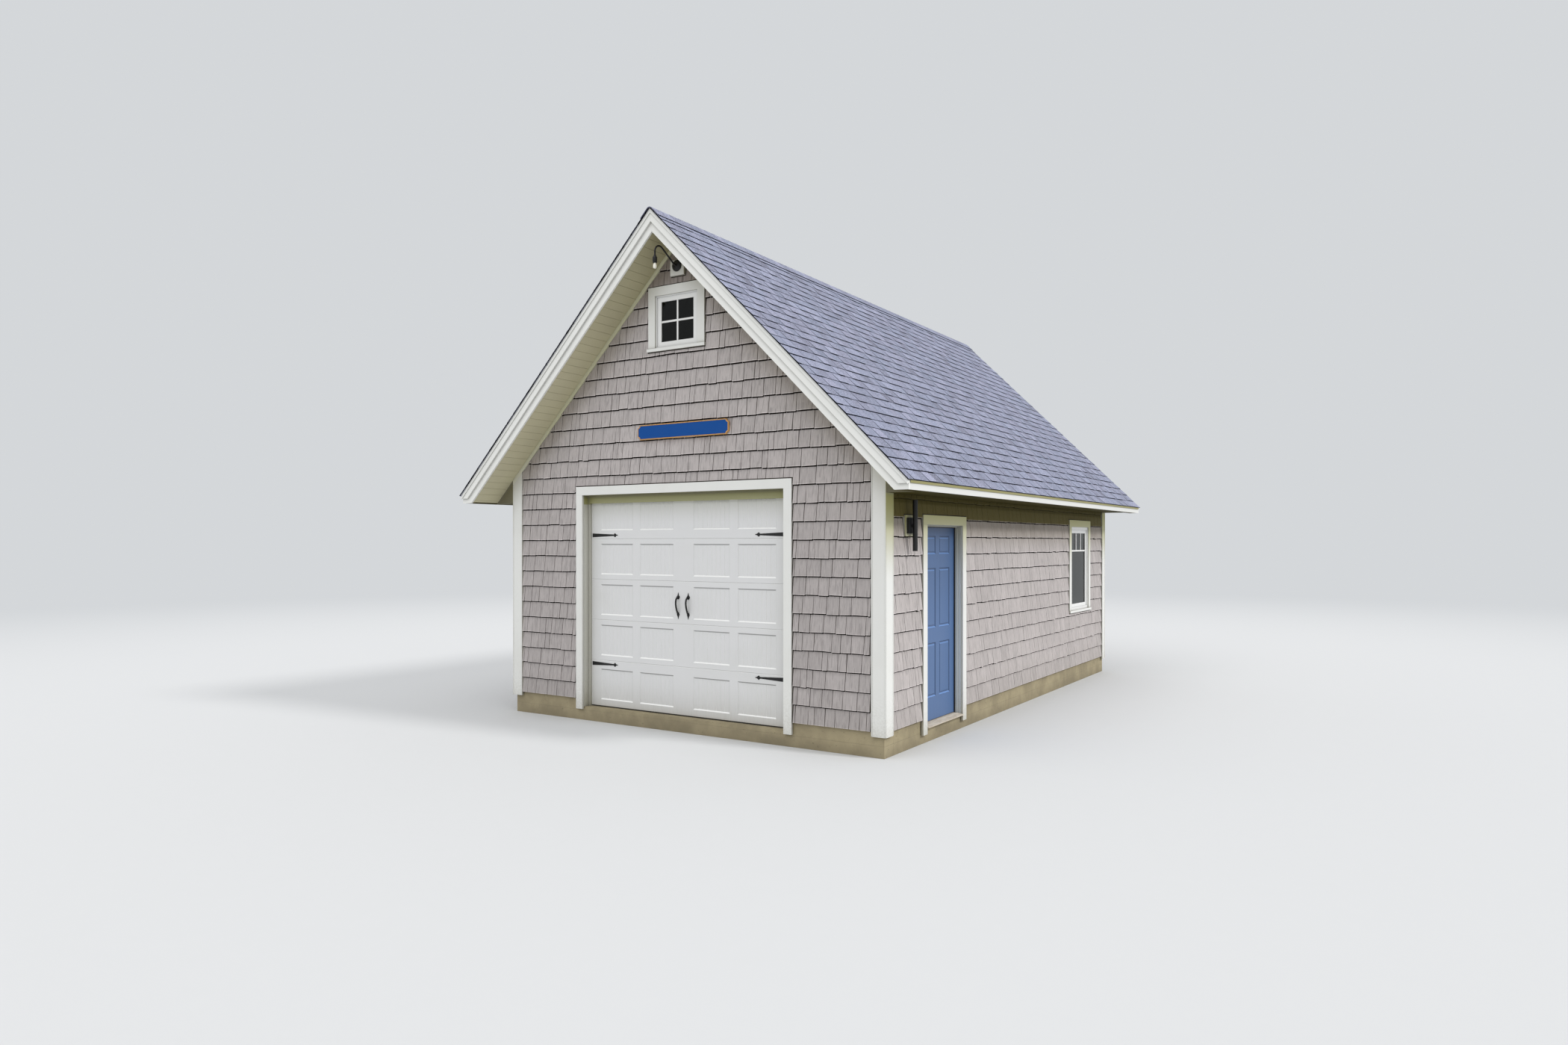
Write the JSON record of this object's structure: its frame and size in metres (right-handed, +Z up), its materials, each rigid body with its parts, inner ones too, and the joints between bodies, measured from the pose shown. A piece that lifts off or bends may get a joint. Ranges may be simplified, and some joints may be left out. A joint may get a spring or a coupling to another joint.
{
  "type": "boathouse",
  "caption": "Small gable-roofed boathouse with grey shake siding, white trim, a white sectional door in the gable end, a blue hinged side door and a bare name board.",
  "frame": {"origin": "centre of the footprint at the lowest ground contact", "axes": "+Z up, the gable end with the sectional door faces -Y, the side door is in the +X wall"},
  "size_m": [5.824, 8.224, 5.4195],
  "materials": {
    "concrete": "broom-finished concrete, weathered",
    "lumber": "unpainted framing and sheathing",
    "siding": "warm grey shakes, wood-grained",
    "roofing": "mineral granules, blue grey",
    "trim": "painted white, satin",
    "soffit": "pale beige, matte",
    "sectional_door": "white paint, satin",
    "hardware": "black paint, satin",
    "seal": "black rubber",
    "leaf": "blue paint, satin",
    "threshold": "mill finish, weathered",
    "sash": "white vinyl",
    "glass": "clear",
    "bulb": "opal white",
    "sign": "blue paint with a gilt edge"
  },
  "bodies": {
    "building": {"stem_walls": "concrete", "floor_slab": "concrete", "front_wall_left": "lumber", "front_wall_right": "lumber", "front_gable_wall": "lumber", "right_wall_front": "lumber", "right_wall_over_door": "lumber", "right_wall_rear": "lumber", "left_wall": "lumber", "back_wall": "lumber", "front_siding": "siding", "right_siding": "siding", "left_siding": "siding", "back_siding": "siding", "corner_boards": "trim", "frieze_boards": "trim", "rafters": "lumber", "ridge_board": "lumber", "roof_sheathing": "lumber", "roof_shingles": "roofing", "ridge_cap": "roofing", "front_rake_boards": "trim", "back_rake_boards": "trim", "eave_fascias": "trim", "eave_soffits": "soffit", "rake_soffits": "soffit", "garage_door_frame": "trim", "garage_door_casing": "trim", "garage_door_seal": "seal", "garage_door_section_1": "sectional_door", "garage_door_section_2": "sectional_door", "garage_door_section_3": "sectional_door", "garage_door_section_4": "sectional_door", "garage_door_section_5": "sectional_door", "garage_door_straps": "hardware", "garage_door_pulls": "hardware", "side_door_frame": "trim", "side_door_casing": "trim", "side_door_threshold": "threshold", "side_door_fixed_hinges": "hardware", "right_window": "sash", "left_window": "sash", "front_gable_window": "sash", "back_gable_window": "sash", "window_panes": "glass", "window_casings": "trim", "light_blocks": "trim", "gooseneck_lamp": "hardware", "lamp_bulb": "bulb", "wall_light": "hardware", "name_board": "sign"},
    "side_door": {"side_door": "leaf", "side_door_hinges": "hardware", "side_door_knob": "hardware"}
  },
  "joints": [
    {"name": "side_door_hinge", "type": "hinge", "parent": "building", "child": "side_door", "pos_m": [2.327, -1.9125, 1.17], "axis": [0, 0, -1], "range_deg": [0, 95]}
  ]
}
